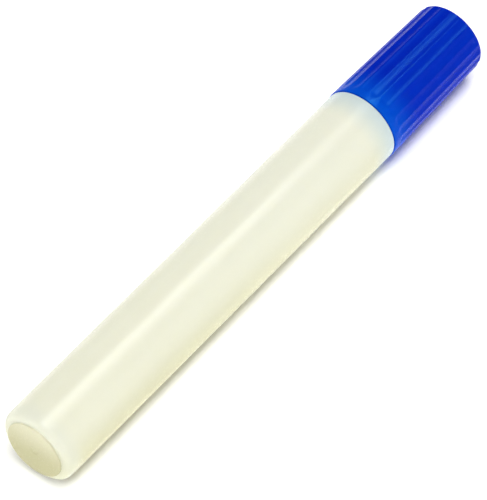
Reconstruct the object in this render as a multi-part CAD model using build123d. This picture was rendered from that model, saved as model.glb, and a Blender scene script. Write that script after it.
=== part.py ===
from build123d import *
import math
import os

# Fabric marking pen: a valve-action marker with a closed barrel full of opaque ink and a push-on ribbed cap.
# Millimetres. Every piece is drawn along the pen's axis, +X, with x = 0 at the barrel's rear face. It is then
# moved so that the pen lies on its side with its lowest point at z = 0 and its middle over the origin.

# Barrel
barrel_length = 104.0  # rear face to mouth
barrel_radius = 8.5
barrel_wall = 1.2
end_wall = 2.5
end_disc_height = 0.5  # raised disc that the pen stands on
end_disc_edge = 0.15
rear_edge_radius = 1.6
rear_land = 0.25  # flat ring between the raised disc and the rounded edge
rear_relief_length = 3.2  # the last stretch tapers in a little
rear_relief_depth = 0.10
inner_corner_radius = 1.6
mouth_edge = 0.15
gate_dimple_radius = 1.0  # shallow dimple where the plastic entered the mould
gate_dimple_depth = 0.1

# Collar that closes the barrel's mouth and carries the valve, the nose and the cap
plug_length = 3.0
plug_bead_height = 0.2
plug_bead_width = 0.9
flange_overlap = 0.7  # how far the flange reaches over the end of the barrel's wall
flange_thickness = 0.8
neck_length = 8.0
neck_bead_height = 0.15
neck_bead_width = 1.6
neck_bead_from_end = 4.0
boss_length = 3.0
boss_wall = 1.0

# Valve
stem_radius = 1.5
stem_flow_gap = 0.6
gasket_width = 1.5
gasket_thickness = 0.8
poppet_overlap = 1.2  # how far the poppet reaches over the gasket's hole
poppet_thickness = 1.0
poppet_flow_gap = 0.4
housing_wall = 0.9
housing_floor = 1.0
window_count = 4
window_width = 2.4
window_end_margin = 1.5
spring_length = 9.7
spring_wire = 0.45
spring_guide_gap = 0.9
spring_pitch = 1.6
guide_rod_radius = 1.1
guide_rod_length = 7.2
inlet_gap = 0.4  # around the guide rod, in the housing's floor
nib_travel = 2.0

# Nib, feed ring and nose
nib_radius = 2.5
nib_exposed = 5.0
nib_tip_radius = 2.2
nib_socket_depth = 2.0
feed_wall = 2.0
spigot_length = 2.5
nose_step = 0.8  # from the neck down to the nose's flange
nose_flange_thickness = 1.2
nose_cone_length = 4.0
snout_wall = 1.6
snout_length = 3.5
snout_edge = 0.4

# Cap, and the sealing cup inside it
cap_gap = 0.15  # between the cap's mouth and the barrel's end
cap_overhang = 0.17  # how far the cap stands out from the barrel at its mouth
cap_draft = 0.59  # how much smaller the cap's radius is at its top
cap_wall = 1.3
cap_top_wall = 2.0
cap_top_edge = 0.8
cap_mouth_edge = 0.15
cap_band_length = 1.6  # plain band at the mouth
flute_count = 22
flute_depth = 0.22
flute_radius = 3.7
ridge_turn = 2.0  # degrees between the first ridge and the top of the pen as it lies
cap_ring_offset = 3.25  # snap ring's middle, from the cap's mouth
cap_ring_width = 1.2
cap_ring_height = 0.12
cup_wall = 1.0
cup_end_wall = 1.35
cup_flange_length = 2.8
cup_overlap = 3.0  # how far the cup reaches over the snout
tip_room = 4.95  # free space between the nib's tip and the cup's end

# Mixing ball
ball_radius = 2.0

moulded_edge = 0.25  # rounding on the exposed edges of the collar, the nose and the cup

# Clearances
press_gap = 0.02  # pieces pressed into each other
running_gap = 0.05  # pieces that slide in each other
snap_gap = 0.03  # cap's snap ring over the neck's bead, which interfere a little in use
feed_gap = 0.1
ink_gap = 0.05
ball_gap = 0.3
stop_gap = 0.3  # between the nib's rear end and the chamber's floor at full press
seat_gap = 0.02
flange_gap = 0.1  # between the collar's flange and the cap

# Places along the axis that follow
plug_back = barrel_length - plug_length
boss_back = plug_back - boss_length
flange_front = barrel_length + flange_thickness
neck_front = flange_front + neck_length
nib_back = barrel_length + nib_travel + stop_gap
snout_back = neck_front + nose_flange_thickness + nose_cone_length
nose_front = snout_back + snout_length
nib_tip = nose_front + nib_exposed
cup_end = nib_tip + tip_room
cup_front = cup_end + cup_end_wall
cap_mouth = barrel_length + cap_gap
cap_top = cup_front + cap_top_wall
cap_length = cap_top - cap_mouth
gasket_back = plug_back - gasket_thickness
poppet_front = gasket_back - seat_gap
poppet_back = poppet_front - poppet_thickness
spring_back = poppet_back - spring_length
housing_back = spring_back - housing_floor

# Radii that follow
bore_radius = barrel_radius - barrel_wall
rear_radius = barrel_radius - rear_relief_depth
end_disc_radius = rear_radius - rear_edge_radius - rear_land
cap_mouth_radius = barrel_radius + cap_overhang
cap_bore_mouth_radius = cap_mouth_radius - cap_wall
cap_slope = cap_draft / cap_length
cap_ring_radius = cap_bore_mouth_radius - cap_slope * cap_ring_offset - cap_ring_height
neck_bead_radius = cap_ring_radius - snap_gap
neck_radius = neck_bead_radius - neck_bead_height
flange_radius = bore_radius + flange_overlap
valve_bore_radius = stem_radius + stem_flow_gap
gasket_radius = valve_bore_radius + gasket_width
poppet_radius = valve_bore_radius + poppet_overlap
housing_bore_radius = poppet_radius + poppet_flow_gap
housing_radius = housing_bore_radius + housing_wall
boss_bore_radius = housing_radius + press_gap
boss_radius = boss_bore_radius + boss_wall
spring_radius = guide_rod_radius + spring_guide_gap + spring_wire / 2
chamber_radius = nib_radius + feed_gap + feed_wall
nose_flange_radius = neck_radius - nose_step
nose_bore_radius = nib_radius + running_gap
snout_radius = nib_radius + snout_wall
cup_bore_radius = snout_radius + running_gap
cup_radius = cup_bore_radius + cup_wall

# The mixing ball lies at the bottom of the bore and runs along it
ball_start = end_wall + ball_gap + ball_radius
ball_drop = bore_radius - ball_gap - ball_radius
ball_run = housing_back - ball_gap - ball_radius - ball_start
track_radius = ball_radius + ball_gap


def cap_radius(x):
    """Outer radius of the cap over its ridges."""
    return cap_mouth_radius - cap_slope * (x - cap_mouth)


def cap_bore(x):
    """Radius of the cap's bore."""
    return cap_radius(x) - cap_wall


def turned(corners):
    """Solid of revolution about the pen's axis. A corner is (x, radius), or (x, radius, rounding)."""
    face = make_face(Polyline(*[corner[:2] for corner in corners], close=True))
    for x, radius, rounding in [corner for corner in corners if len(corner) == 3]:
        vertex = face.vertices().sort_by_distance((x, radius, 0))[0]
        face = fillet(vertex, rounding)
    return revolve(face, Axis.X)


def rod(start, end, radius):
    """Plain round bar from start to end."""
    return turned([(start, 0), (end, 0), (end, radius), (start, radius)])


def ring(start, end, inner, outer):
    """Plain ring from start to end."""
    return turned([(start, inner), (end, inner), (end, outer), (start, outer)])


def bead(middle, width, base, height):
    """Corners of a low rounded-off bead on a profile, in order of x."""
    flat = width / 4
    return [
        (middle - width / 2, base),
        (middle - flat / 2, base + height),
        (middle + flat / 2, base + height),
        (middle + width / 2, base),
    ]


def make_barrel():
    """Closed tube with a rounded rear edge, a raised end disc and a snap groove behind its mouth."""
    groove = bead(barrel_length - plug_length / 2, plug_bead_width, bore_radius, plug_bead_height)
    return turned(
        [
            (gate_dimple_depth, 0),
            (gate_dimple_depth, gate_dimple_radius - gate_dimple_depth),
            (0, gate_dimple_radius),
            (0, end_disc_radius, end_disc_edge),
            (end_disc_height, end_disc_radius),
            (end_disc_height, rear_radius, rear_edge_radius),
            (rear_relief_length, barrel_radius),
            (barrel_length, barrel_radius, mouth_edge),
            (barrel_length, bore_radius),
            *reversed(groove),
            (end_wall, bore_radius, inner_corner_radius),
            (end_wall, 0),
        ]
    )


def make_ink():
    """Ink filling the barrel, with room for the valve and a track for the mixing ball."""
    back = end_wall + ink_gap
    front = plug_back - ink_gap
    radius = bore_radius - ink_gap
    body = turned([(back, 0), (back, radius, inner_corner_radius), (front, radius), (front, 0)])
    around_housing = rod(housing_back - ink_gap, front, housing_radius + ink_gap)
    around_boss = rod(boss_back - ink_gap, front, boss_radius + ink_gap)
    track_length = housing_back - ink_gap
    track_top = Pos(track_length / 2, 0, -ball_drop) * Rot(Y=90) * Cylinder(track_radius, track_length)
    track_depth = barrel_radius - ball_drop
    track_low = Pos(track_length / 2, 0, -ball_drop - track_depth / 2)
    track_low = track_low * Box(track_length, 2 * track_radius, track_depth)
    return body - around_housing - around_boss - track_top - track_low


def make_ball():
    """Steel ball that stirs the ink when the pen is shaken."""
    return Pos(ball_start, 0, -ball_drop) * Sphere(ball_radius)


def make_collar():
    """Collar: snap plug in the barrel, boss for the valve housing, flange, and neck with the cap's bead."""
    plug_radius = bore_radius - press_gap
    plug_bead = bead(barrel_length - plug_length / 2, plug_bead_width, plug_radius, plug_bead_height)
    neck_bead = bead(neck_front - neck_bead_from_end, neck_bead_width, neck_radius, neck_bead_height)
    return turned(
        [
            (boss_back, boss_bore_radius),
            (boss_back, boss_radius),
            (plug_back, boss_radius),
            (plug_back, plug_radius),
            *plug_bead,
            (barrel_length, plug_radius),
            (barrel_length, flange_radius),
            (flange_front, flange_radius, moulded_edge),
            (flange_front, neck_radius),
            *neck_bead,
            (neck_front, neck_radius, moulded_edge),
            (neck_front, chamber_radius),
            (barrel_length, chamber_radius),
            (barrel_length, valve_bore_radius),
            (plug_back, valve_bore_radius),
            (plug_back, boss_bore_radius),
        ]
    )


def make_gasket():
    """Soft washer that the poppet closes against."""
    return ring(gasket_back, plug_back, valve_bore_radius, gasket_radius)


def make_housing():
    """Cup pressed into the collar's boss: it holds the spring and lets ink in through its windows."""
    body = turned(
        [
            (housing_back, guide_rod_radius + inlet_gap),
            (housing_back, housing_radius),
            (plug_back, housing_radius),
            (plug_back, housing_bore_radius),
            (spring_back, housing_bore_radius),
            (spring_back, guide_rod_radius + inlet_gap),
        ]
    )
    window_back = spring_back + window_end_margin
    window_length = boss_back - window_end_margin - window_back
    window_middle = window_back + window_length / 2
    for index in range(window_count):
        turn = Rot(X=360 / window_count * (index + 0.5))
        body -= turn * Pos(window_middle, 0, housing_radius) * Box(window_length, window_width, housing_radius)
    return body


def make_stem():
    """Valve stem: guide rod inside the spring, poppet, and push rod that carries the nib."""
    return turned(
        [
            (poppet_back - guide_rod_length, 0),
            (poppet_back - guide_rod_length, guide_rod_radius),
            (poppet_back, guide_rod_radius),
            (poppet_back, poppet_radius),
            (poppet_front, poppet_radius),
            (poppet_front, stem_radius),
            (nib_back + nib_socket_depth, stem_radius),
            (nib_back + nib_socket_depth, 0),
        ]
    )


def make_spring():
    """Compression spring between the housing's floor and the poppet."""
    back = spring_back + seat_gap + spring_wire / 2
    front = poppet_back - seat_gap - spring_wire / 2
    path = Pos(back, 0, 0) * Helix(spring_pitch, front - back, spring_radius, direction=(1, 0, 0))
    section = Plane(origin=path @ 0, z_dir=path % 0) * Circle(spring_wire / 2)
    return sweep(section, path=path, is_frenet=True)


def make_feed_ring():
    """Absorbent ring that evens out the flow of ink around the nib."""
    return ring(
        barrel_length,
        neck_front - spigot_length,
        nib_radius + feed_gap,
        chamber_radius - press_gap,
    )


def make_nose():
    """Nose pressed into the collar: flange, cone and the snout that guides the nib."""
    return turned(
        [
            (neck_front - spigot_length, nose_bore_radius),
            (neck_front - spigot_length, chamber_radius - press_gap),
            (neck_front, chamber_radius - press_gap),
            (neck_front, nose_flange_radius),
            (neck_front + nose_flange_thickness, nose_flange_radius, moulded_edge),
            (snout_back, snout_radius, moulded_edge),
            (nose_front, snout_radius, snout_edge),
            (nose_front, nose_bore_radius),
        ]
    )


def make_nib():
    """Bullet nib of bonded fibre, with a socket for the valve stem."""
    body = turned([(nib_back, 0), (nib_back, nib_radius), (nib_tip, nib_radius, nib_tip_radius), (nib_tip, 0)])
    return body - rod(nib_back, nib_back + nib_socket_depth, stem_radius + press_gap)


def make_cup():
    """Sealing cup pressed into the top of the cap, with a sleeve that closes over the snout."""
    sleeve_back = nose_front - cup_overlap
    flange_back = cup_front - cup_flange_length
    return turned(
        [
            (sleeve_back, cup_bore_radius, moulded_edge),
            (sleeve_back, cup_radius, moulded_edge),
            (flange_back, cup_radius),
            (flange_back, cap_bore(flange_back) - press_gap),
            (cup_front, cap_bore(cup_front) - press_gap),
            (cup_front, 0),
            (cup_end, 0),
            (cup_end, cup_bore_radius),
        ]
    )


def make_flute_cutter():
    """Round bar along the cap's slope, with a round end where the flute begins."""
    run_out = (flute_radius**2 - (flute_radius - flute_depth) ** 2) ** 0.5
    start = cap_mouth + cap_band_length + run_out
    slope_angle = math.degrees(math.atan(cap_slope))
    bar = Cylinder(flute_radius, cap_length, align=(Align.CENTER, Align.CENTER, Align.MIN))
    cutter = Sphere(flute_radius) + bar
    return Pos(start, 0, cap_radius(start) - flute_depth + flute_radius) * Rot(Y=90 + slope_angle) * cutter


def make_cap():
    """Cap with a plain band and a counterbore at its mouth, shallow flutes, and a snap ring in its bore."""
    counterbore_front = flange_front + flange_gap
    ring_middle = cap_mouth + cap_ring_offset
    snap_ring = bead(ring_middle, cap_ring_width, cap_bore(ring_middle), -cap_ring_height)
    body = turned(
        [
            (cap_mouth, flange_radius + flange_gap),
            (cap_mouth, cap_mouth_radius, cap_mouth_edge),
            (cap_top, cap_radius(cap_top), cap_top_edge),
            (cap_top, 0),
            (cup_front, 0),
            (cup_front, cap_bore(cup_front)),
            *reversed(snap_ring),
            (counterbore_front, cap_bore(counterbore_front)),
            (counterbore_front, flange_radius + flange_gap),
        ]
    )
    cutter = make_flute_cutter()
    turns = [Rot(X=ridge_turn + 360 / flute_count * (index + 0.5)) for index in range(flute_count)]
    return body.cut(*[turn * cutter for turn in turns])


pieces = {
    "barrel": make_barrel(),
    "ink_fill": make_ink(),
    "mixing_ball": make_ball(),
    "front_collar": make_collar(),
    "valve_gasket": make_gasket(),
    "valve_housing": make_housing(),
    "valve_spring": make_spring(),
    "valve_stem": make_stem(),
    "feed_ring": make_feed_ring(),
    "nose_cone": make_nose(),
    "nib": make_nib(),
    "sealing_cup": make_cup(),
    "cap": make_cap(),
}

at_rest = Pos(-cap_top / 2, 0, cap_mouth_radius)
os.makedirs("parts", exist_ok=True)
for name, piece in pieces.items():
    export_step(at_rest * piece, f"parts/{name}.step")

print("overall length", round(cap_top, 3), "ball run", round(ball_run, 3), "axis height", cap_mouth_radius)
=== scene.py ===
import bmesh
import bpy
import math
from mathutils import Matrix, Vector


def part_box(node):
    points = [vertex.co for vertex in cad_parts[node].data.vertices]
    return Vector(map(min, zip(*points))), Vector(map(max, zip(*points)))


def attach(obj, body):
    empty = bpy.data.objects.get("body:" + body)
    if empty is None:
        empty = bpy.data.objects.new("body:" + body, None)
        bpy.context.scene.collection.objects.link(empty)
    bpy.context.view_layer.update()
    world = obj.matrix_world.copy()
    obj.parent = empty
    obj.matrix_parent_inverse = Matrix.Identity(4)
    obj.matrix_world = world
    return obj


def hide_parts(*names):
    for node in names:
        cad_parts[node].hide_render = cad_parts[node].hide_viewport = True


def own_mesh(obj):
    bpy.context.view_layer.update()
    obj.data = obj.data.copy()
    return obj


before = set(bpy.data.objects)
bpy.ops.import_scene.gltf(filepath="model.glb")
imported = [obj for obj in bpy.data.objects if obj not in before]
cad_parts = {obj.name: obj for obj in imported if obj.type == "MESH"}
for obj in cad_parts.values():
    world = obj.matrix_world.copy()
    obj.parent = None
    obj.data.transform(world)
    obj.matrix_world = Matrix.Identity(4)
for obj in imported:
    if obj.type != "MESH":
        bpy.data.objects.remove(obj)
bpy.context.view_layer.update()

MM = 0.001
ALONG = Vector((1, 0, 0))  # from the pen's rear rim to its cap

barrel_low, barrel_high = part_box("barrel")
REAR = barrel_low.x
AXIS_HEIGHT = (barrel_low.z + barrel_high.z) / 2


def span(node):
    """Where a CAD node starts and ends along the pen, from the rear rim, and its greatest radius, in mm."""
    low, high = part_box(node)
    return (low.x - REAR) / MM, (high.x - REAR) / MM, (high.y - low.y) / 2 / MM


barrel_back, barrel_front, barrel_radius = span("barrel")
cap_back, cap_front, cap_radius = span("cap")
collar_back, collar_front, flange_radius = span("front_collar")
nose_back, nose_front, nose_radius = span("nose_cone")
nib_back, nib_front, nib_radius = span("nib")
cup_back, cup_front, cup_radius = span("sealing_cup")
spring_back, spring_front, spring_radius = span("valve_spring")
housing_front, housing_radius = span("valve_housing")[1:]

# Walls and small features, in mm
ROUND_STEPS = 192
SMOOTH_UP_TO = 32  # degrees
MOST_SIDES = 8  # a face with more sides than this is an end to be closed with a fan
barrel_wall = 1.2
end_wall = 2.5
end_disc_height = 0.5
rear_rounding = 1.6
rear_relief = 3.2
rear_radius = barrel_radius - 0.1
end_disc_radius = rear_radius - rear_rounding - 0.25
dimple_radius = 1.0
dimple_depth = 0.1
bore_radius = barrel_radius - barrel_wall
inner_rounding = 1.6
plug_length = 3.0
plug_bead_width = 0.9
plug_bead_height = 0.2
boss_wall = 1.0
valve_bore_radius = 2.1
flange_thickness = 0.8
neck_bead_from_end = 4.0
neck_bead_width = 1.6
neck_bead_height = 0.15
nose_step = 0.8
chamber_radius = 4.6
spigot_radius = 4.58
nose_flange_thickness = 1.2
snout_wall = 1.6
snout_length = 3.5
nib_tip_rounding = 2.2
nib_socket_radius = 1.52
nib_socket_depth = 2.0
cup_wall = 1.0
cup_end_wall = 1.35
cup_flange_length = 2.8
spring_wire = 0.45
spring_open_turns = 5
press_gap = 0.02
running_gap = 0.05
flange_gap = 0.1

cap_draft = 0.59
cap_wall = 1.3
cap_top_wall = 2.0
cap_band = 1.6
cap_rounding = 0.8
cap_ring_offset = 3.25  # snap ring's middle, from the cap's mouth
cap_ring_width = 1.2
cap_ring_height = 0.12
flute_count = 22
flute_columns = 8  # steps from a ridge to the middle of the flute beside it
flute_depth = 0.22
flute_radius = 3.7
ridge_turn = 2.0  # degrees from the top of the pen, as it lies, to the first ridge


def at(x, radius=0.0):
    """Point on the pen's axis, or that far above it; x is from the rear rim, in mm."""
    return Vector((REAR + x * MM, 0, AXIS_HEIGHT + radius * MM))


def cap_radius_at(x):
    """Radius over the cap's ridges."""
    return cap_radius - cap_draft * (x - cap_back) / (cap_front - cap_back)


# ---- Modelling ----------------------------------------------------------------------------------------


def start_edit(piece):
    """Only this piece is selected, in edit mode with edges picked."""
    bpy.ops.object.select_all(action="DESELECT")
    piece.select_set(True)
    bpy.context.view_layer.objects.active = piece
    bpy.ops.object.mode_set(mode="EDIT")
    bpy.context.tool_settings.mesh_select_mode = (False, True, False)


def radius_of(point):
    """Distance of a point from the pen's axis, in mm."""
    return math.hypot(point.y, point.z - AXIS_HEIGHT) / MM


def pick_edges(piece, test):
    """In edit mode, selects only the edges that pass the test."""
    bpy.ops.mesh.select_all(action="DESELECT")
    mesh = bmesh.from_edit_mesh(piece.data)
    for edge in mesh.edges:
        edge.select_set(test(edge))
    bmesh.update_edit_mesh(piece.data)


def soften(piece, x, radius, width, steps=6):
    """Bevels the ring of edges at that place on the pen, all in mm."""
    place = at(x).x
    near = 0.002

    def on_ring(edge):
        return all(
            abs(vert.co.x - place) < near * MM and abs(radius_of(vert.co) - radius) < near
            for vert in edge.verts
        )

    pick_edges(piece, on_ring)
    bpy.ops.mesh.bevel(offset=width * MM, offset_type="OFFSET", segments=steps, profile=0.5, affect="EDGES")


def draw_on(x, radius, to_x, to_radius):
    """Extrudes the picked ring to the next corner and resizes it about the pen's axis."""
    bpy.ops.mesh.extrude_region_move(TRANSFORM_OT_translate={"value": ((to_x - x) * MM, 0, 0)})
    scale = to_radius / radius
    bpy.ops.transform.resize(value=(1, scale, scale), center_override=at(to_x))


def turn(name, corners, steps=ROUND_STEPS, twist=0.0):
    """Starts a turned piece: a circle drawn on from corner to corner along the pen.

    A corner is (x, radius) or (x, radius, bevel width), in mm. Both ends are left open.
    """
    bpy.ops.object.select_all(action="DESELECT")
    x, radius = corners[0][:2]
    bpy.ops.mesh.primitive_circle_add(
        vertices=steps, radius=radius * MM, location=at(x), rotation=(0, math.pi / 2, 0)
    )
    piece = bpy.context.object
    piece.name = piece.data.name = name
    bpy.ops.object.transform_apply(location=True, rotation=True, scale=True)
    start_edit(piece)
    bpy.ops.mesh.select_all(action="SELECT")
    bpy.ops.transform.rotate(value=twist, orient_axis="X", center_override=at(x))
    for corner in corners[1:]:
        draw_on(x, radius, corner[0], corner[1])
        x, radius = corner[:2]
    return piece


def close_ends(piece):
    """Fills the two open ends with fans of faces."""
    bpy.ops.mesh.select_all(action="DESELECT")
    bpy.ops.mesh.select_non_manifold()
    bpy.ops.mesh.fill_holes(sides=0)
    bpy.context.tool_settings.mesh_select_mode = (False, False, True)
    mesh = bmesh.from_edit_mesh(piece.data)
    for face in mesh.faces:
        face.select_set(len(face.verts) > MOST_SIDES)
    bmesh.update_edit_mesh(piece.data)
    bpy.ops.mesh.poke()
    bpy.context.tool_settings.mesh_select_mode = (False, True, False)


def join_ends(piece):
    """Joins the two open ends of a ring-shaped piece."""
    bpy.ops.mesh.select_all(action="DESELECT")
    bpy.ops.mesh.select_non_manifold()
    bpy.ops.mesh.bridge_edge_loops()


def soften_corners(piece, corners):
    """Bevels every corner that has a width."""
    for x, radius, width in [corner for corner in corners if len(corner) == 3]:
        soften(piece, x, radius, width)


def end_edit():
    """Leaves edit mode with faces pointing outwards and smooth shading up to a corner."""
    bpy.ops.mesh.select_all(action="SELECT")
    bpy.ops.mesh.normals_make_consistent(inside=False)
    bpy.ops.object.mode_set(mode="OBJECT")
    bpy.ops.object.shade_smooth_by_angle(angle=math.radians(SMOOTH_UP_TO))


def fit(piece, node, body, finish):
    """Gives a finished piece its material, and lets it stand for a CAD node."""
    piece.data.materials.append(finish)
    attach(piece, body)
    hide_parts(node)


def turned_piece(name, corners, hollow):
    """Turned piece with its corners softened; a hollow one is a ring, the other has closed ends."""
    piece = turn(name, corners)
    if hollow:
        join_ends(piece)
    else:
        close_ends(piece)
    soften_corners(piece, corners)
    end_edit()
    return piece


def bead(middle, width, base, height):
    """Corners of a low bead on a turned piece."""
    return [
        (middle - width / 2, base),
        (middle - width / 8, base + height),
        (middle + width / 8, base + height),
        (middle + width / 2, base),
    ]


def make_barrel_shell():
    """Closed tube with a rounded rear edge, a raised end disc and the mould gate's dimple in its middle."""
    groove = bead(barrel_front - plug_length / 2, plug_bead_width, bore_radius, plug_bead_height)
    corners = [
        (dimple_depth, 0.3),
        (dimple_depth, dimple_radius - dimple_depth, 0.06),
        (barrel_back, dimple_radius, 0.06),
        (barrel_back, end_disc_radius, 0.15),
        (end_disc_height, end_disc_radius, 0.1),
        (end_disc_height, rear_radius, rear_rounding),
        (rear_relief, barrel_radius),
        (barrel_front, barrel_radius, 0.15),
        (barrel_front, bore_radius),
        *reversed(groove),
        (end_wall, bore_radius, inner_rounding),
        (end_wall, 1.0),
    ]
    return turned_piece("barrel_shell", corners, hollow=False)


def flute_column(point):
    """Which column of points this is: 0 is on a ridge and flute_columns is in the middle of a flute."""
    angle = math.degrees(math.atan2(-point.y, point.z - AXIS_HEIGHT)) - ridge_turn
    column = round(angle / 360 * flute_count * 2 * flute_columns) % (2 * flute_columns)
    return min(column, 2 * flute_columns - column)


def flute_section(crest, depth):
    """Radius of each column across a round-bottomed flute of that depth."""
    radii = []
    middle = crest - depth + flute_radius
    for column in range(flute_columns + 1):
        angle = math.pi / flute_count * (1 - column / flute_columns)
        half_chord = middle * math.sin(angle)
        floor = middle * math.cos(angle) - math.sqrt(max(flute_radius**2 - half_chord**2, 0))
        radii.append(crest if half_chord > flute_radius else min(crest, floor))
    return radii


def press_flutes(piece, x, now, later):
    """Resizes the picked ring column by column, every flute at once."""
    bpy.context.tool_settings.mesh_select_mode = (True, False, False)
    mesh = bmesh.from_edit_mesh(piece.data)
    ring = [vert for vert in mesh.verts if vert.select]
    columns = [flute_column(vert.co) for vert in ring]
    for column in range(flute_columns + 1):
        for vert, own_column in zip(ring, columns):
            vert.select_set(own_column == column)
        bmesh.update_edit_mesh(piece.data)
        scale = later[column] / now[column]
        bpy.ops.transform.resize(value=(1, scale, scale), center_override=at(x))
    for vert in ring:
        vert.select_set(True)
    mesh.select_flush_mode()
    bmesh.update_edit_mesh(piece.data)
    bpy.context.tool_settings.mesh_select_mode = (False, True, False)


def make_fluted_cap():
    """Cap drawn from the middle of its bore out round its mouth, then fluted on the way up to its top."""
    band_front = cap_back + cap_band
    bore = cap_radius - cap_wall
    bore_draft = cap_draft / (cap_front - cap_back)
    counterbore_front = barrel_front + flange_thickness + flange_gap
    bore_end = cap_front - cap_top_wall
    ring_base = bore - bore_draft * cap_ring_offset
    snap_ring = bead(cap_back + cap_ring_offset, cap_ring_width, ring_base, -cap_ring_height)
    corners = [
        (bore_end, 1.0),
        (bore_end, bore - bore_draft * (bore_end - cap_back), 0.4),
        *reversed(snap_ring),
        (counterbore_front, bore - bore_draft * (counterbore_front - cap_back)),
        (counterbore_front, flange_radius + flange_gap),
        (cap_back, flange_radius + flange_gap),
        (cap_back, cap_radius, 0.15),
        (band_front, cap_radius_at(band_front)),
    ]
    turn_by = math.radians(ridge_turn)
    piece = turn("fluted_cap", corners, steps=flute_count * 2 * flute_columns, twist=turn_by)
    run_out = math.sqrt(flute_radius**2 - (flute_radius - flute_depth) ** 2)
    rings = []
    for part in (0.25, 0.5, 0.75, 1.0):
        left = run_out * (1 - part)
        depth = flute_depth - flute_radius + math.sqrt(flute_radius**2 - left**2)
        rings.append((band_front + run_out * part, depth, cap_radius))
    for degrees in range(0, 91, 10):
        lean = math.radians(degrees)
        x = cap_front - cap_rounding * (1 - math.sin(lean))
        crest = cap_radius_at(cap_front) - cap_rounding * (1 - math.cos(lean))
        rings.append((x, flute_depth, crest))
    last_x = band_front
    radii = [cap_radius_at(band_front)] * (flute_columns + 1)
    for x, depth, crest in rings:
        section = [min(crest, radius) for radius in flute_section(cap_radius_at(x), depth)]
        bpy.ops.mesh.extrude_region_move(TRANSFORM_OT_translate={"value": ((x - last_x) * MM, 0, 0)})
        press_flutes(piece, x, radii, section)
        last_x, radii = x, section
    draw_on(cap_front, radii[0], cap_front, 1.0)
    close_ends(piece)
    soften_corners(piece, corners)
    end_edit()
    return piece


def make_collar():
    """Collar: plug with its snap bead, boss round the valve, flange, and neck with the cap's bead."""
    plug_back = barrel_front - plug_length
    plug_radius = bore_radius - press_gap
    boss_bore = housing_radius + press_gap
    flange_front = barrel_front + flange_thickness
    neck_radius = nose_radius + nose_step
    corners = [
        (collar_back, boss_bore),
        (collar_back, boss_bore + boss_wall, 0.2),
        (plug_back, boss_bore + boss_wall),
        (plug_back, plug_radius, 0.2),
        *bead(barrel_front - plug_length / 2, plug_bead_width, plug_radius, plug_bead_height),
        (barrel_front, plug_radius),
        (barrel_front, flange_radius),
        (flange_front, flange_radius, 0.25),
        (flange_front, neck_radius),
        *bead(collar_front - neck_bead_from_end, neck_bead_width, neck_radius, neck_bead_height),
        (collar_front, neck_radius, 0.25),
        (collar_front, chamber_radius),
        (barrel_front, chamber_radius),
        (barrel_front, valve_bore_radius),
        (plug_back, valve_bore_radius),
        (plug_back, boss_bore),
    ]
    return turned_piece("collar", corners, hollow=True)


def make_nose():
    """Nose: spigot in the collar, flange, cone and the snout that guides the nib."""
    snout_radius = nib_radius + snout_wall
    nib_bore = nib_radius + running_gap
    corners = [
        (nose_back, nib_bore, 0.1),
        (nose_back, spigot_radius, 0.2),
        (collar_front, spigot_radius),
        (collar_front, nose_radius),
        (collar_front + nose_flange_thickness, nose_radius, 0.25),
        (nose_front - snout_length, snout_radius, 0.12),
        (nose_front, snout_radius, 0.4),
        (nose_front, nib_bore, 0.15),
    ]
    return turned_piece("nose", corners, hollow=True)


def make_bullet_nib():
    """Bonded-fibre nib with a domed point and a socket for the valve's pin."""
    corners = [
        (nib_back + nib_socket_depth, 0.6),
        (nib_back + nib_socket_depth, nib_socket_radius),
        (nib_back, nib_socket_radius, 0.1),
        (nib_back, nib_radius, 0.25),
        (nib_front, nib_radius, nib_tip_rounding),
        (nib_front, 0.15),
    ]
    return turned_piece("bullet_nib", corners, hollow=False)


def make_sealing_sleeve():
    """Soft cup in the top of the cap, with a sleeve that closes over the snout."""
    bore = nib_radius + snout_wall + running_gap
    flange_back = cup_front - cup_flange_length
    flange_draft = 0.055
    corners = [
        (cup_front - cup_end_wall, 0.5),
        (cup_front - cup_end_wall, bore, 0.3),
        (cup_back, bore, 0.25),
        (cup_back, bore + cup_wall, 0.25),
        (flange_back, bore + cup_wall),
        (flange_back, cup_radius, 0.2),
        (cup_front, cup_radius - flange_draft, 0.2),
        (cup_front, 0.5),
    ]
    return turned_piece("sealing_sleeve", corners, hollow=False)


def make_coil_spring():
    """Wire wound along the valve's guide rod, with one close turn at each end."""
    middle_radius = spring_radius - spring_wire / 2
    back = spring_back + spring_wire / 2
    front = spring_front - spring_wire / 2
    close_pitch = spring_wire * 1.04  # the end turns all but touch
    open_pitch = (front - back - 2 * close_pitch) / spring_open_turns
    parts = []
    x = back
    for name, pitch, turns in (
        ("first_turn", close_pitch, 1),
        ("open_turns", open_pitch, spring_open_turns),
        ("last_turn", close_pitch, 1),
    ):
        bpy.ops.object.select_all(action="DESELECT")
        bpy.ops.mesh.primitive_circle_add(
            vertices=14,
            radius=spring_wire / 2 * MM,
            location=at(x, middle_radius),
            rotation=(math.pi / 2, 0, 0),
        )
        part = bpy.context.object
        part.name = name
        bpy.context.scene.cursor.location = at(x)
        bpy.ops.object.origin_set(type="ORIGIN_CURSOR")
        bpy.ops.object.transform_apply(location=False, rotation=True, scale=True)
        coil = part.modifiers.new("coil", "SCREW")
        coil.axis = "X"
        coil.angle = math.tau
        coil.iterations = turns
        coil.screw_offset = pitch * MM
        coil.steps = coil.render_steps = 36
        bpy.ops.object.modifier_apply(modifier="coil")
        bpy.ops.object.transform_apply(location=True, rotation=True, scale=True)
        parts.append(part)
        x += pitch * turns
    bpy.ops.object.select_all(action="DESELECT")
    for part in parts:
        part.select_set(True)
    piece = parts[0]
    bpy.context.view_layer.objects.active = piece
    bpy.ops.object.join()
    piece.name = piece.data.name = "coil_spring"
    start_edit(piece)
    bpy.ops.mesh.select_all(action="SELECT")
    bpy.ops.mesh.remove_doubles(threshold=0.01 * MM)
    close_ends(piece)
    end_edit()
    return piece


# ---- Finishes -----------------------------------------------------------------------------------------


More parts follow.
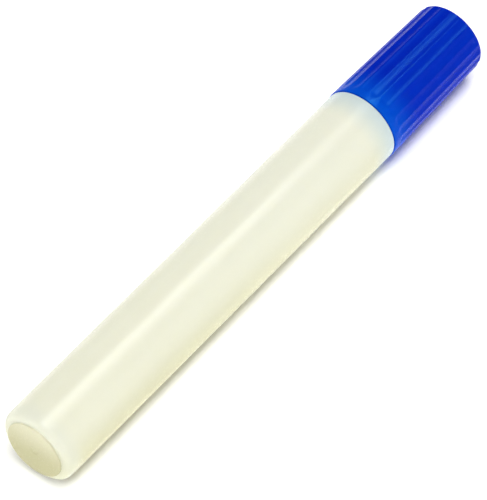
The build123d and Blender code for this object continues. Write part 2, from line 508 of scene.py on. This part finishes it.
class Value:
    """A node's output. Arithmetic on it adds Math nodes to the same finish."""

    def __init__(self, finish, socket):
        self.finish = finish
        self.socket = socket

    def math(self, operation, *terms):
        return self.finish.node("Math", {"operation": operation}, dict(enumerate(terms)))

    def __add__(self, other):
        return self.math("ADD", self, other)

    __radd__ = __add__

    def __sub__(self, other):
        return self.math("SUBTRACT", self, other)

    def __rsub__(self, other):
        return self.math("SUBTRACT", other, self)

    def __mul__(self, other):
        return self.math("MULTIPLY", self, other)

    __rmul__ = __mul__


class Finish:
    """A material: one Principled shader, its plain settings, and the nodes that feed it."""

    def __init__(self, name, settings):
        self.material = bpy.data.materials.new(name)
        self.material.use_nodes = True
        self.tree = self.material.node_tree
        self.shader = self.tree.nodes["Principled BSDF"]
        for socket, value in settings.items():
            self.feed(self.shader.inputs[socket], value)

    def feed(self, socket, value):
        """Links a value to a socket, or sets it."""
        if isinstance(value, Value):
            self.tree.links.new(value.socket, socket)
        else:
            socket.default_value = value

    def node(self, kind, settings, sockets, output=0):
        """Adds a node, sets it up, then feeds its sockets, and returns one of its outputs."""
        made = self.tree.nodes.new("ShaderNode" + kind)
        for name, value in settings.items():
            setattr(made, name, value)
        for socket, value in sockets.items():
            self.feed(made.inputs[socket], value)
        return Value(self, made.outputs[output])

    def place(self):
        """Millimetres from the rear rim, on the pen's axis."""
        coordinates = self.node("TexCoord", {}, {}, "Object")
        middle = (-REAR / MM, 0, -AXIS_HEIGHT / MM)
        sockets = {"Vector": coordinates, "Location": middle, "Scale": (1 / MM, 1 / MM, 1 / MM)}
        return self.node("Mapping", {}, sockets)

    def stretch(self, place, scale):
        """The same place with each axis scaled, which draws a pattern out."""
        return self.node("Mapping", {}, {"Vector": place, "Scale": scale})

    def axis(self, place, name):
        """One of a place's coordinates."""
        return self.node("SeparateXYZ", {}, {"Vector": place}, name)

    def noise(self, place, scale, detail=2.0, roughness=0.5):
        """Soft clouds from 0 to 1; the scale is per millimetre."""
        sockets = {"Vector": place, "Scale": scale, "Detail": detail, "Roughness": roughness}
        return self.node("TexNoise", {}, sockets, "Fac")

    def ramp(self, value, low, high, start=0.0, end=1.0):
        """Goes smoothly from start to end as a value goes from low to high."""
        sockets = {"Value": value, "From Min": low, "From Max": high, "To Min": start, "To Max": end}
        return self.node("MapRange", {"interpolation_type": "SMOOTHSTEP"}, sockets)

    def blend(self, amount, first, second):
        """Mix of two colours."""
        return self.node("Mix", {"data_type": "RGBA"}, {0: amount, 6: first, 7: second}, 2)

    def bump(self, height, strength, distance):
        """Normal of a surface that rises by the height times the distance, in mm."""
        sockets = {"Height": height, "Strength": strength, "Distance": distance * MM}
        return self.node("Bump", {}, sockets)

    def surface(self, color, roughness, normal):
        """Feeds the shader and returns the material."""
        self.feed(self.shader.inputs["Base Color"], color)
        self.feed(self.shader.inputs["Roughness"], roughness)
        self.feed(self.shader.inputs["Normal"], normal)
        return self.material


def milky_plastic():
    """Translucent natural plastic with cream ink behind it; whiter over the plug and the thick rear wall,
    with painted bounce light from the cap tinting the plug zone blue and painted shade darkening the
    underside.
    """
    finish = Finish(
        "milky_plastic",
        {
            "IOR": 1.49,
            "Specular IOR Level": 0.07,
            "Subsurface Weight": 0.25,
            "Subsurface Radius": (1.0, 0.95, 0.7),
            "Subsurface Scale": 0.6 * MM,
        },
    )
    place = finish.place()
    x = finish.axis(place, "X")
    clouds = finish.noise(place, 0.16, 3.0)
    flow = finish.noise(finish.stretch(place, (0.05, 1, 1)), 0.8, 3.0)
    body = finish.blend(clouds, (0.83, 0.83, 0.65, 1), (0.87, 0.87, 0.70, 1))
    body = finish.blend(flow * 0.35, body, (0.89, 0.89, 0.75, 1))
    front_pale = finish.ramp(x, barrel_front * 0.2, barrel_front * 0.95)
    body = finish.blend(front_pale * 0.5, body, (0.88, 0.89, 0.76, 1))
    # Painted shade: darker and yellower towards the underside, where the pen lies on the floor. It also
    # stands for pigment settled in the ink behind the wall.
    depth = barrel_radius - finish.axis(place, "Z") + 1.5 * clouds
    settled_and_shade = finish.ramp(depth, barrel_radius * 0.3, barrel_radius * 1.4, 0.0, 1.0)
    body = finish.blend(settled_and_shade * (1 - 0.3 * front_pale), body, (0.65, 0.63, 0.40, 1))
    rear_white = finish.ramp(x, end_wall * 0.6, end_wall * 2.2, 1.0, 0.0)
    body = finish.blend(rear_white * 0.5, body, (0.80, 0.82, 0.70, 1))
    # Whiter over the plug behind the wall, with a blue tint that is painted bounce light from the cap.
    plug = finish.ramp(x, barrel_front - plug_length * 2.5, barrel_front + plug_length * 0.2)
    body = finish.blend(plug, body, (0.62, 0.73, 0.73, 1))
    end_disc = finish.ramp(x, 0.1, end_disc_height, 1.0, 0.0)
    # The end disc shows the ink through its thin wall, and painted shade darkens it towards the underside.
    disc_ink_and_shade = finish.blend(settled_and_shade, (0.71, 0.69, 0.49, 1), (0.53, 0.51, 0.30, 1))
    body = finish.blend(end_disc, body, disc_ink_and_shade)
    grain = finish.noise(place, 2.2, 4.0)
    scuffs = finish.noise(finish.stretch(place, (0.15, 1, 1)), 6.0, 2.0)
    roughness = 0.2 + 0.08 * grain + 0.05 * scuffs
    normal = finish.bump(0.7 * grain + 0.3 * scuffs, 0.25, 0.02)
    return finish.surface(body, roughness, normal)


def blue_plastic():
    """Deep blue moulded plastic, lighter where the thin wall at the mouth lets light through."""
    settings = {"IOR": 1.49, "Specular IOR Level": 0.05, "Specular Tint": (0.03, 0.8, 1.0, 1)}
    finish = Finish("blue_plastic", settings)
    place = finish.place()
    x = finish.axis(place, "X")
    clouds = finish.noise(place, 0.3, 2.0)
    flow = finish.noise(finish.stretch(place, (0.06, 1, 1)), 1.2, 3.0)
    body = finish.blend(clouds, (0.0, 0.014, 0.42, 1), (0.0, 0.021, 0.5, 1))
    body = finish.blend(flow * 0.4, body, (0.0, 0.024, 0.57, 1))
    mouth = finish.ramp(x, cap_back, cap_back + 9, 1.0, 0.0)
    body = finish.blend(mouth * 0.6, body, (0.0, 0.11, 0.72, 1))
    grain = finish.noise(place, 3.0, 4.0)
    roughness = 0.2 + 0.12 * grain
    normal = finish.bump(grain, 0.2, 0.02)
    return finish.surface(body, roughness, normal)


def white_plastic():
    """Opaque white moulding with fine flow lines and a faintly dulled skin."""
    finish = Finish("white_plastic", {"IOR": 1.49, "Subsurface Weight": 0.1, "Subsurface Scale": 0.4 * MM})
    place = finish.place()
    clouds = finish.noise(place, 0.4, 3.0)
    flow = finish.noise(finish.stretch(place, (0.2, 1, 1)), 1.6, 3.0)
    body = finish.blend(clouds, (0.80, 0.80, 0.77, 1), (0.86, 0.86, 0.84, 1))
    body = finish.blend(flow * 0.3, body, (0.74, 0.74, 0.69, 1))
    grain = finish.noise(place, 3.0, 4.0)
    return finish.surface(body, 0.28 + 0.15 * grain, finish.bump(grain, 0.25, 0.02))


def bonded_fibre(name, dry, soaked, soak_from, soak_to):
    """Fibres laid along the pen and bonded, soaked with ink towards one end."""
    finish = Finish(name, {"IOR": 1.45, "Sheen Weight": 0.3})
    place = finish.place()
    fibres = finish.noise(finish.stretch(place, (0.12, 1, 1)), 9.0, 4.0, 0.65)
    clumps = finish.noise(place, 1.4, 3.0)
    x = finish.axis(place, "X")
    wet = finish.ramp(x + clumps * 2.0, soak_from, soak_to)
    body = finish.blend(fibres, dry, tuple(c * 0.86 for c in dry[:3]) + (1,))
    body = finish.blend(wet, body, soaked)
    roughness = 0.92 - 0.35 * wet * clumps
    normal = finish.bump(0.75 * fibres + 0.25 * clumps, 0.8, 0.06)
    return finish.surface(body, roughness, normal)


def grey_rubber():
    """Matt grey rubber with a fine moulded grain and bloom."""
    finish = Finish("grey_rubber", {"IOR": 1.52})
    place = finish.place()
    bloom = finish.noise(place, 1.1, 3.0)
    grain = finish.noise(place, 7.0, 3.0)
    body = finish.blend(bloom, (0.10, 0.10, 0.10, 1), (0.16, 0.16, 0.155, 1))
    return finish.surface(body, 0.6 + 0.2 * grain, finish.bump(grain, 0.4, 0.03))


def drawn_steel(name, light, dark, polish, streak):
    """Bright steel with fine lines and a film that has dulled in places."""
    finish = Finish(name, {"Metallic": 1.0})
    place = finish.place()
    lines = finish.noise(finish.stretch(place, streak), 8.0, 3.0)
    film = finish.noise(place, 0.9, 3.0)
    body = finish.blend(film, light, dark)
    roughness = polish + 0.12 * film + 0.08 * lines
    return finish.surface(body, roughness, finish.bump(lines, 0.15, 0.01))


def cream_ink():
    """Thick cream ink, paler in swirls, with pigment settling towards its underside."""
    finish = Finish("cream_ink", {"IOR": 1.36, "Coat Weight": 0.3})
    place = finish.place()
    swirls = finish.noise(finish.stretch(place, (0.3, 1, 1)), 0.5, 4.0, 0.6)
    up = finish.axis(place, "Z")
    settled_and_shade = finish.ramp(up + 2.0 * swirls, -barrel_radius * 0.8, 0.0, 1.0, 0.0)
    body = finish.blend(swirls, (0.78, 0.75, 0.52, 1), (0.86, 0.84, 0.66, 1))
    body = finish.blend(settled_and_shade * 0.5, body, (0.66, 0.61, 0.36, 1))
    return finish.surface(body, 0.12 + 0.1 * swirls, finish.bump(swirls, 0.1, 0.05))


def white_floor():
    """Plain white table."""
    finish = Finish("white_floor", {"Base Color": (0.93, 0.93, 0.93, 1), "Roughness": 0.9})
    return finish.material


# ---- Studio -------------------------------------------------------------------------------------------


def make_camera():
    """Long lens, looking down on the pen from its rear left."""
    target = at(barrel_front / 2 - 0.07)
    azimuth = math.radians(-51.236)
    elevation = math.radians(51.268)
    distance = 895.05 * MM
    back = Vector((
        math.sin(azimuth) * math.cos(elevation),
        -math.cos(azimuth) * math.cos(elevation),
        math.sin(elevation),
    ))
    data = bpy.data.cameras.new("camera")
    data.lens = 326.95
    data.sensor_width = 36
    data.clip_start = 0.05
    data.clip_end = 20
    camera = bpy.data.objects.new("camera", data)
    bpy.context.scene.collection.objects.link(camera)
    camera.location = target + back * distance
    beside_axis = Vector((0, -1.26 * MM, 0))
    aim = at(63.67, 0.04) + beside_axis
    camera.rotation_euler = (aim - camera.location).to_track_quat("-Z", "Y").to_euler()
    bpy.context.scene.camera = camera


def make_softbox(name, lean, tilt, distance, across, along, radiance, shine=0.0):
    """Rectangular light. Its lean is towards the cap and its tilt is across the pen, in degrees.

    The radiance lights everything. The shine is only seen reflected in gloss, and stands a little
    nearer so that the two don't share a place.
    """
    lean = math.radians(lean)
    tilt = math.radians(tilt)
    toward = Vector((
        math.sin(lean),
        math.cos(lean) * -math.sin(tilt),
        math.cos(lean) * math.cos(tilt),
    ))
    side = ALONG.cross(toward).normalized()
    turned = Matrix((side, toward.cross(side), toward)).transposed()
    lights = []
    shine_nearer = 0.005
    for suffix, level, nearer in (("", radiance, 0.0), ("_shine", shine, shine_nearer)):
        if level > 0:
            data = bpy.data.lights.new(name + suffix, "AREA")
            data.shape = "RECTANGLE"
            data.size = across
            data.size_y = along
            data.energy = level * math.pi * across * along
            light = bpy.data.objects.new(name + suffix, data)
            bpy.context.scene.collection.objects.link(light)
            place = at(barrel_front / 2) + toward * (distance - nearer)
            light.matrix_world = Matrix.Translation(place) @ turned.to_4x4()
            light.visible_diffuse = suffix == ""
            lights.append(light)
    return lights


def make_studio():
    """White floor with its own light, a long softbox with a bright core, a dim one beside it, and fill."""
    bpy.ops.object.select_all(action="DESELECT")
    bpy.ops.mesh.primitive_plane_add(size=6, location=(0, 0, 0))
    floor = bpy.context.object
    floor.name = "floor"
    floor.data.materials.append(white_floor())
    make_softbox("key_softbox", lean=-8, tilt=2, distance=0.9, across=0.6, along=1.9, radiance=1.4, shine=17)
    make_softbox("key_core", lean=-8, tilt=-2, distance=0.88, across=0.17, along=1.9, radiance=1.2, shine=17)
    make_softbox(
        "side_softbox", lean=0, tilt=60, distance=0.9, across=1.26, along=1.6, radiance=0.05, shine=3
    )
    wash = make_softbox("floor_wash", lean=0, tilt=14, distance=1, across=0.3, along=0.9, radiance=7.5)[0]
    lit = bpy.data.collections.new("floor_wash_lights")
    lit.objects.link(floor)
    wash.light_linking.receiver_collection = lit
    world = bpy.data.worlds.new("world")
    bpy.context.scene.world = world
    world.use_nodes = True
    background = world.node_tree.nodes["Background"]
    background.inputs["Color"].default_value = (1, 1, 1, 1)
    background.inputs["Strength"].default_value = 0.5
    world.cycles_visibility.glossy = False
    bpy.context.scene.view_settings.view_transform = "Standard"


make_camera()
make_studio()

white = white_plastic()
fit(make_barrel_shell(), "barrel", "barrel_body", milky_plastic())
fit(make_fluted_cap(), "cap", "cap_body", blue_plastic())
fit(make_collar(), "front_collar", "barrel_body", white)
fit(make_nose(), "nose_cone", "barrel_body", white)
fit(make_sealing_sleeve(), "sealing_cup", "cap_body", white)
felt = (0.82, 0.80, 0.72, 1)
soaked = (0.80, 0.76, 0.55, 1)
nib_felt = bonded_fibre("nib_felt", felt, soaked, nib_front - 1.0, nib_front + 3.0)
fit(make_bullet_nib(), "nib", "nib_body", nib_felt)
spring_steel = drawn_steel("spring_steel", (0.62, 0.62, 0.62, 1), (0.5, 0.5, 0.5, 1), 0.22, (1, 0.3, 0.3))
spring = make_coil_spring()
fit(spring, "valve_spring", "barrel_body", spring_steel)
at(spring_back)
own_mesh(spring)

for name, finish in (
    ("ink_fill", cream_ink()),
    ("mixing_ball", drawn_steel("ball_steel", (0.6, 0.6, 0.6, 1), (0.46, 0.46, 0.45, 1), 0.12, (1, 1, 1))),
    ("valve_gasket", grey_rubber()),
    ("valve_housing", white),
    ("valve_stem", white),
    ("feed_ring", bonded_fibre("fibre_felt", felt, soaked, housing_front, housing_front + 14)),
):
    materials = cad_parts[name].data.materials
    for index in range(len(materials)):
        materials[index] = finish
